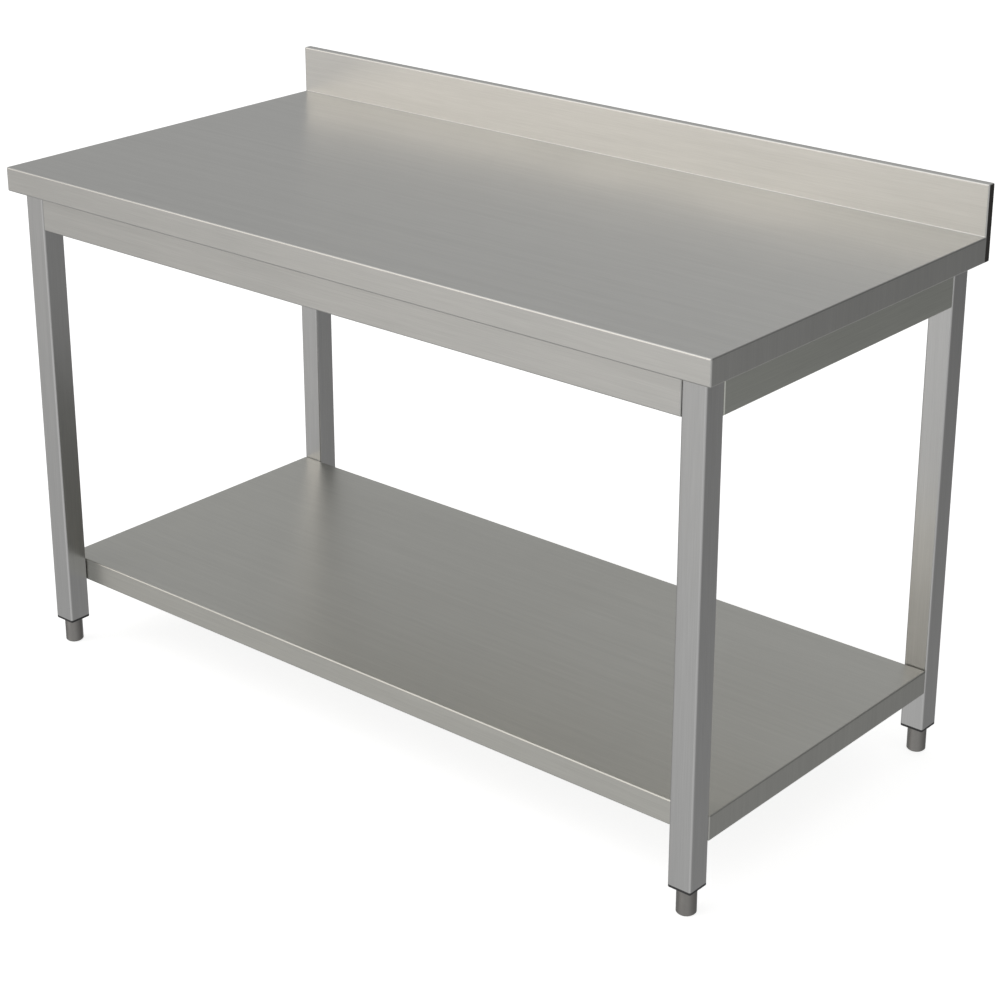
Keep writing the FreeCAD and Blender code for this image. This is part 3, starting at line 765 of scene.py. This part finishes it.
@dataclass(frozen=True)
class Fastener:
    """A headed screw whose seat is at z = 0, driven towards +Z."""

    name: str
    head_radius: float
    head_height: float
    crown_radius: float
    recess: Recess
    recess_radius: float
    recess_depth: float
    thread: Thread
    sides: int = 24

    HIDDEN_SHARE = 0.8  # the head starts inside its shank, at this share of the shank's radius
    EDGE_BREAK = 0.2 * MM  # rounding of the rim that bears on the work
    SIDE_SHARE = 0.25  # how much of the head's height is upright
    CROWN_RINGS = 6
    MOUTH_SHARE = 1.06  # the recess's mouth is bevelled out, and its floor drawn in
    FLOOR_SHARE = 0.9
    BEVEL = 0.15 * MM
    ARM_SHARE = 0.3  # half the width of a cross recess's arm, as a share of its length
    LEAST_SINE = 0.01  # keeps clear of dividing by nothing along the middle of an arm

    def circle(self, radius: float, height: float) -> list[Vector]:
        """One round ring of the head.

        Args:
            radius: the ring's radius.
            height: its level.

        Returns:
            Points round the ring.
        """
        turns = [2 * math.pi * step / self.sides for step in range(self.sides)]
        return [Vector((radius * math.cos(turn), radius * math.sin(turn), height)) for turn in turns]

    def recess_ring(self, share: float, height: float) -> list[Vector]:
        """One ring of the recess.

        Args:
            share: its size as a share of the mouth's.
            height: its level.

        Returns:
            Points round the ring, at the same angles as the round ones.
        """
        reach = self.recess_radius * share
        ring = []
        for step in range(self.sides):
            turn = 2 * math.pi * step / self.sides
            if self.recess is Recess.HEX:
                beside = (turn + math.pi / 6) % (math.pi / 3) - math.pi / 6
                radius = reach / math.cos(beside)
            else:
                beside = (turn + math.pi / 4) % (math.pi / 2) - math.pi / 4
                arm = reach / math.cos(beside)
                slot = self.ARM_SHARE * reach / max(abs(math.sin(beside)), self.LEAST_SINE)
                radius = min(arm, slot)
            ring.append(Vector((radius * math.cos(turn), radius * math.sin(turn), height)))
        return ring

    def head(self) -> Mesh:
        """Build the domed head with its recess.

        Returns:
            The mesh, with its seat at z = 0.
        """
        side, top = self.head_height * self.SIDE_SHARE, -self.head_height
        rings = [
            self.circle(self.thread.radius * self.HIDDEN_SHARE, 0),
            self.circle(self.head_radius - self.EDGE_BREAK, 0),
            self.circle(self.head_radius, -self.EDGE_BREAK),
        ]
        for step in range(self.CROWN_RINGS):
            turn = math.pi / 2 * step / (self.CROWN_RINGS - 1)
            radius = self.crown_radius + (self.head_radius - self.crown_radius) * math.cos(turn)
            rings.append(self.circle(radius, -side - (self.head_height - side) * math.sin(turn)))
        rings += [
            self.recess_ring(self.MOUTH_SHARE, top),
            self.recess_ring(1.0, top + self.BEVEL),
            self.recess_ring(self.FLOOR_SHARE, top + self.recess_depth),
        ]
        return loft(f"{self.name}_head", rings)

    def mesh(self, threads: ThreadTree, finish: Material) -> Mesh:
        """Build the head and its threaded shank.

        Args:
            threads: makes the shank.
            finish: the fastener's material.

        Returns:
            The mesh.
        """
        shank = threads.rod(f"{self.name}_shank", self.thread, Vector(), finish)
        return joined(self.name, self.head(), shank)


# Sub-assemblies


@dataclass
class Worktop:
    """The folded sheet, the board under it, the channels that stiffen it and its end caps."""

    sheet: BrushedStainless = BrushedStainless(
        "stainless sheet, belt-brushed along its length", Grain.ALONG_LENGTH
    )
    # The caps' dark tint is painted shade: the plate is the same steel as the sheet, coloured dark to stand
    # in for the dark room it reflects.
    cap: BrushedStainless = BrushedStainless(
        "stainless plate, ground upright", Grain.UPRIGHT, tint="#4f4d4a", roughness=0.38
    )
    board: LaminatedChipboard = LaminatedChipboard("chipboard, laminated both faces")
    stiffener: GalvanisedSheet = GalvanisedSheet("steel sheet, hot-dip galvanised")

    def build(self) -> None:
        """Dress the worktop's pieces."""
        dress(self.sheet.material(), "worktop_skin")
        dress(self.cap.material(), "upstand_end_cap_left", "upstand_end_cap_right")
        dress(self.board.material(), "worktop_core_board")
        zinc = self.stiffener.material()
        for place_name in PLACES:
            dress(zinc, f"worktop_channel_{place_name}", f"shelf_channel_{place_name}")


@dataclass
class Frame:
    """Four square legs and the aprons between them."""

    tube: BrushedStainless = BrushedStainless(
        "stainless tube, polished along its length", Grain.UPRIGHT, tint="#c8c8c7", roughness=0.31
    )
    long_sheet: BrushedStainless = BrushedStainless(
        "stainless apron, brushed lengthwise", Grain.ALONG_LENGTH
    )
    # Its lighter tint is painted light: the same steel as the long aprons, lightened for the light that
    # falls on the right apron.
    short_sheet: BrushedStainless = BrushedStainless(
        "stainless apron, brushed front to back", Grain.ALONG_DEPTH, tint="#d8dad2"
    )

    def build(self) -> None:
        """Dress the legs and aprons."""
        dress(self.tube.material(), *[f"{corner}_leg" for corner in CORNERS])
        dress(self.long_sheet.material(), "front_apron", "rear_apron")
        dress(self.short_sheet.material(), "left_apron", "right_apron")


@dataclass
class Shelf:
    """The folded undershelf."""

    # Its tint, darker than the worktop's sheet of the same steel, is painted shade from the worktop above.
    sheet: BrushedStainless = BrushedStainless(
        "stainless shelf, belt-brushed along its length", Grain.ALONG_LENGTH, tint="#c2c2bd", roughness=0.36
    )

    def build(self) -> None:
        """Dress the shelf."""
        dress(self.sheet.material(), "shelf_pan")


@dataclass
class Feet:
    """A plastic insert, captive nut, threaded stem, turned sleeve and glide in each leg."""

    pitch: float = 1.5 * MM
    tip: float = 1.25 * MM  # how much narrower a stem is at its end
    tip_slope: float = 1.0
    insert: MouldedPlastic = MouldedPlastic("glass-filled polyamide, moulded black", "#232324", ior=1.53)
    # The glide's dark grey is partly the nylon's own colour and partly painted shade, giving the dark band
    # at the foot's base.
    glide: MouldedPlastic = MouldedPlastic("nylon, moulded grey, darkened in part as painted shade", "#3d3c3a", ior=1.53, roughness=0.4)
    nut: PlatedSteel = PlatedSteel("steel nut, zinc plated", "#b6b9bd")
    stem: PlatedSteel = PlatedSteel("steel thread, rolled and zinc plated", "#b0b2b4", roughness=0.26)
    # The sleeve's dark tint is painted shade.
    sleeve: TurnedSteel = TurnedSteel("stainless bar, turned, tinted darker as painted shade")

    def build(self, threads: ThreadTree) -> None:
        """Dress the feet and cut a real thread on each stem.

        Args:
            threads: makes the threaded rods.
        """
        insert, nut = self.insert.material(), self.nut.material()
        glide, sleeve, stem = self.glide.material(), self.sleeve.material(), self.stem.material()
        for corner in CORNERS:
            dress(insert, f"{corner}_leg_insert")
            dress(nut, f"{corner}_leg_nut")
            dress(glide, f"{corner}_foot_glide")
            dress(sleeve, f"{corner}_foot_sleeve")
            self.add_stem(corner, threads, stem)

    def add_stem(self, corner: str, threads: ThreadTree, finish: Material) -> None:
        """Replace one plain stem by a threaded one of the same size.

        Args:
            corner: which leg.
            threads: makes the rod.
            finish: the stem's material.
        """
        node = f"{corner}_foot_stem"
        low, high = (Vector(point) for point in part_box(node))
        radius = (high.x - low.x) / 2
        thread = Thread(radius, high.z - low.z, self.pitch, radius - self.tip, self.tip_slope)
        base = Vector(((low.x + high.x) / 2, (low.y + high.y) / 2, low.z))
        piece = add_object(f"{corner}_threaded_stem", threads.rod(node, thread, base, finish))
        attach(piece, f"{corner}_foot_screw")
        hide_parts(node)
        LOG.info("%s: thread of %d faces", piece.name, len(piece.data.polygons))


@dataclass
class Fasteners:
    """Bolts with washers and rivet nuts in the legs, and wood screws up into the board."""

    sheet: float = 1.2 * MM
    washer: float = 1.2 * MM
    joint_gap: float = 0.5 * MM
    bolt_drops: tuple[float, float] = (26 * MM, 56 * MM)  # below the top of the aprons
    ledge_inset: float = 16 * MM  # from an apron's outer face to the screws in its ledge
    long_ledge_screws: int = 4
    short_ledge_screws: int = 2
    channel_reach: float = 41.2 * MM  # from a channel's middle to the screws in its flanges
    channel_screw_y: float = 180 * MM
    steel: PlatedSteel = PlatedSteel("stainless bolt, cold headed", "#c4c2be", roughness=0.24)
    zinc: PlatedSteel = PlatedSteel("steel rivet nut, zinc plated", "#b2b6ba")
    yellow: PlatedSteel = PlatedSteel("steel wood screw, yellow zinc plated", "#c9b483")

    def bolt(self) -> Fastener:
        """The M6 button-head bolt.

        Returns:
            Its sizes.
        """
        return Fastener(
            name="button_bolt",
            head_radius=5.25 * MM,
            head_height=3.3 * MM,
            crown_radius=3.2 * MM,
            recess=Recess.HEX,
            recess_radius=2 * MM,
            recess_depth=2 * MM,
            thread=Thread(
                radius=3 * MM, length=16 * MM, pitch=1 * MM, tip_radius=2.5 * MM, tip_slope=1.0
            ),
        )

    def wood_screw(self) -> Fastener:
        """The pan-head wood screw.

        Returns:
            Its sizes.
        """
        point_shape = {"tip_radius": 0.05 * MM, "tip_slope": 0.5, "depth_share": 0.35}
        return Fastener(
            name="wood_screw",
            head_radius=3.8 * MM,
            head_height=2.4 * MM,
            crown_radius=2.4 * MM,
            recess=Recess.CROSS,
            recess_radius=1.9 * MM,
            recess_depth=1.3 * MM,
            thread=Thread(radius=2 * MM, length=15 * MM, pitch=1.8 * MM, **point_shape),
        )

    def leg_seats(self, on_shelf: bool) -> list[Seat]:
        """Where the bolts' heads bear, and the way each is driven.

        Args:
            on_shelf: for the shelf's bolts rather than the aprons'.

        Returns:
            Pairs of a point and a direction.
        """
        stand_off = self.joint_gap + self.sheet + self.washer
        frame_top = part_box("front_apron")[1][2]
        shelf_low, shelf_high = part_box("shelf_pan")
        seats = []
        for corner in CORNERS:
            low, high = (Vector(point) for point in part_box(f"{corner}_leg"))
            axis = (low + high) / 2
            reach = (high.x - low.x) / 2 + stand_off
            ways = [Vector((0, -math.copysign(1, axis.y), 0))]
            levels = [(shelf_low[2] + shelf_high[2]) / 2]
            if not on_shelf:
                ways.append(Vector((-math.copysign(1, axis.x), 0, 0)))
                levels = [frame_top - drop for drop in self.bolt_drops]
            for level in levels:
                for way in ways:
                    seats.append((Vector((axis.x, axis.y, level)) + way * reach, -way))
        return seats

    def ledge_spots(self) -> list[tuple[float, float]]:
        """Screws through the aprons' ledges, evenly along each.

        Returns:
            The x and y of each screw.
        """
        spots = []
        for apron, side in (("front", -1), ("rear", 1), ("left", -1), ("right", 1)):
            low, high = (Vector(point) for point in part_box(f"{apron}_apron"))
            outer = (high if side > 0 else low) - side * Vector((1, 1, 0)) * self.ledge_inset
            is_long = high.x - low.x > high.y - low.y
            count = self.long_ledge_screws if is_long else self.short_ledge_screws
            for step in range(count):
                along = low.lerp(high, (step + 0.5) / count)
                spots.append((along.x, outer.y) if is_long else (outer.x, along.y))
        return spots

    def screw_seats(self) -> list[Seat]:
        """Every wood screw's seat, all driven upwards.

        Returns:
            Pairs of a point and a direction.
        """
        spots = self.ledge_spots()
        for place_name in PLACES:
            low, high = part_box(f"worktop_channel_{place_name}")
            middle = (low[0] + high[0]) / 2
            for side in (-1, 1):
                for end in (-1, 1):
                    spots.append((middle + side * self.channel_reach, end * self.channel_screw_y))
        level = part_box("front_apron")[1][2] - self.sheet
        return [(Vector((x, y, level)), Vector((0, 0, 1))) for x, y in spots]

    def build(self, threads: ThreadTree) -> None:
        """Dress the plain fasteners, and make the headed ones with their recess and thread.

        Args:
            threads: makes the shanks.
        """
        steel, yellow = self.steel.material(), self.yellow.material()
        dress(steel, "apron_washers", "shelf_washers")
        dress(self.zinc.material(), "apron_rivet_nuts", "shelf_rivet_nuts")
        driven = FastenerTree()
        bolt = self.bolt().mesh(threads, steel)
        screw = self.wood_screw().mesh(threads, yellow)
        groups = (
            ("apron_bolts", bolt, self.leg_seats(False), steel, "stainless_fastener"),
            ("shelf_bolts", bolt, self.leg_seats(True), steel, "stainless_fastener"),
            ("worktop_screws", screw, self.screw_seats(), yellow, "zinc_wood_screw"),
        )
        for seed, (node, shape, seats, finish, slot) in enumerate(groups):
            piece = driven.group(f"{node}_driven", shape, seats, finish, seed)
            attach(piece, TABLE)
            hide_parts(node)
            LOG.info("%s: %d fasteners", piece.name, len(seats))


# Studio


@dataclass(frozen=True)
class Glow:
    """A soft patch of light far away, seen by the steel as a reflection."""

    azimuth: float  # degrees from the front, positive to the left
    elevation: float
    strength: float  # below zero it darkens that part of the room
    focus: float  # higher is narrower
    colour: str = "#ffffff"

    def direction(self) -> Vector:
        """The way to the middle of the patch."""
        turn, rise = math.radians(self.azimuth), math.radians(self.elevation)
        return Vector((-math.sin(turn) * math.cos(rise), -math.cos(turn) * math.cos(rise), math.sin(rise)))


@dataclass
class Studio:
    """White floor, soft surroundings and the camera."""

    floor: StudioFloor = StudioFloor("studio floor, matt white")
    floor_half: float = 40.0
    ambient: float = 0.37
    glows: tuple[Glow, ...] = (
        Glow(16, -8, 0.45, 7.0),
        Glow(38, 12, 1.85, 27.0, "#fff4e9"),
        Glow(42, 56, 1.2, 12.0),
        Glow(-45, -30, 0.3, 5.0),
        Glow(-151, 2, -0.34, 9.0),
        Glow(-153, 40, -0.25, 12.0),
        Glow(165, 22, 0.16, 8.0),
        Glow(0, 88, 0.2, 2.0),
    )
    camera_place: tuple[float, float, float] = (2.345, -2.689, 1.885)
    azimuth: float = 40.48
    elevation: float = 21.19
    lens: float = 86.4
    sensor: float = 36.0  # like the lens, in millimetres
    shift_y: float = -0.09

    def add_floor(self) -> None:
        """A pale floor that shades a little under the feet and isn't reflected in the steel."""
        shape = bmesh.new()
        bmesh.ops.create_grid(shape, x_segments=1, y_segments=1, size=self.floor_half)
        mesh = bpy.data.meshes.new("studio_floor")
        shape.to_mesh(mesh)
        shape.free()
        mesh.materials.append(self.floor.material())
        floor = add_object("studio_floor", mesh)
        floor.visible_glossy = False

    def light(self) -> None:
        """White behind the object, and for everything else a soft room made of glows."""
        world = bpy.data.worlds.new("studio")
        world.use_nodes = True
        tree = world.node_tree
        tree.nodes.clear()
        way = add(tree, "ShaderNodeTexCoord", out="Generated")
        total = (self.ambient,) * 3
        for glow in self.glows:
            facing = add(tree, VECTOR, {0: way, 1: glow.direction()}, "Value", operation="DOT_PRODUCT")
            aside = add(tree, MATH, {0: facing, 1: glow.focus, 2: -glow.focus}, operation="MULTIPLY_ADD")
            fade = add(tree, MATH, {0: aside}, operation="EXPONENT")
            share = add(tree, MATH, {0: fade, 1: glow.strength}, operation="MULTIPLY")
            patch = add(tree, VECTOR, {0: linear(glow.colour)[:3], "Scale": share}, operation="SCALE")
            total = add(tree, VECTOR, {0: total, 1: patch}, operation="ADD")
        seen = add(tree, "ShaderNodeLightPath", out="Is Camera Ray")
        room = add(tree, "ShaderNodeBackground", {"Color": total})
        white = add(tree, "ShaderNodeBackground", {"Color": linear("#ffffff")})
        both = add(tree, "ShaderNodeMixShader", {0: seen, 1: room, 2: white})
        add(tree, "ShaderNodeOutputWorld", {"Surface": both})
        bpy.context.scene.world = world
        bpy.context.scene.view_settings.view_transform = "Standard"

    def add_camera(self) -> None:
        """The camera, to the right of the front and a little above the worktop."""
        data = bpy.data.cameras.new("camera")
        data.lens = self.lens
        data.sensor_width = self.sensor
        data.shift_y = self.shift_y
        camera = bpy.data.objects.new("camera", data)
        camera.location = self.camera_place
        camera.rotation_euler = (math.radians(90 - self.elevation), 0, math.radians(self.azimuth))
        bpy.context.scene.collection.objects.link(camera)
        bpy.context.scene.camera = camera

    def build(self) -> None:
        """Set up the whole studio."""
        self.add_floor()
        self.light()
        self.add_camera()


def main() -> None:
    """Dress the table, finish its threaded pieces and set up the studio."""
    logging.basicConfig(level=logging.INFO, format="%(name)s %(message)s")
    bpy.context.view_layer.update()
    threads = ThreadTree()
    Worktop().build()
    Frame().build()
    Shelf().build()
    Feet().build(threads)
    Fasteners().build(threads)
    Studio().build()


if __name__ == "__main__":
    main()
